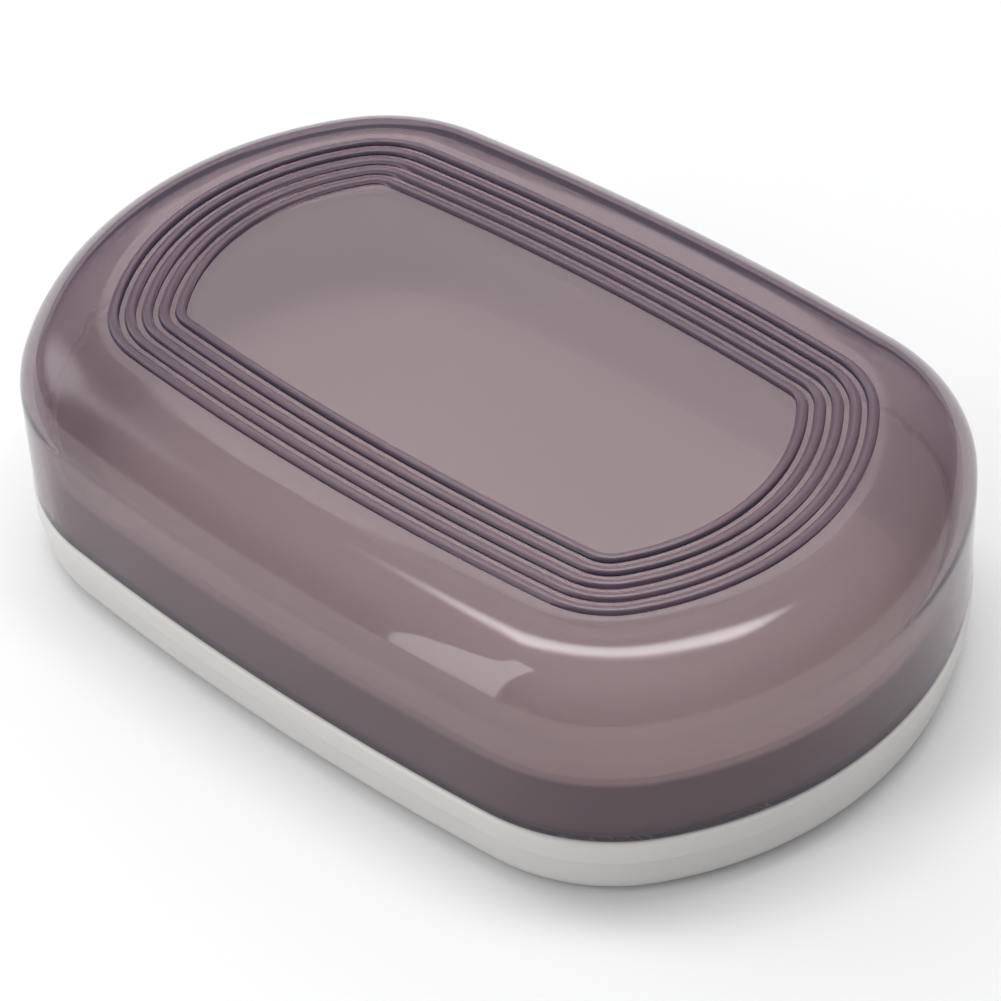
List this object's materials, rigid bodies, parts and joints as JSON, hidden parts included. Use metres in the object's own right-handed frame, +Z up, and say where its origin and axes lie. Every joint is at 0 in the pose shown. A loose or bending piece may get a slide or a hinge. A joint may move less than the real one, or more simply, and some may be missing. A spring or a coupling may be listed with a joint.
{
  "type": "covered soap dish",
  "caption": "Oval soap dish: a shallow white tray and a clear tinted cover with concentric half-round beads round a flat window, which lifts straight off.",
  "frame": {"origin": "centre of the footprint, on the surface that the tray stands on", "axes": "+X along the length, +Y across the width, +Z up through the middle of the cover's flat window"},
  "size_m": [0.13, 0.086, 0.0355],
  "materials": {
    "tray": "moulded off-white plastic with a soft sheen",
    "cover": "clear glossy plastic tinted a smoky mauve grey"
  },
  "bodies": {
    "tray": {"tray": "tray"},
    "cover": {"cover": "cover"}
  },
  "joints": [
    {"name": "cover_lift", "type": "slide", "parent": "tray", "child": "cover", "axis": [0, 0, 1], "range_m": [0, 0.05]}
  ]
}
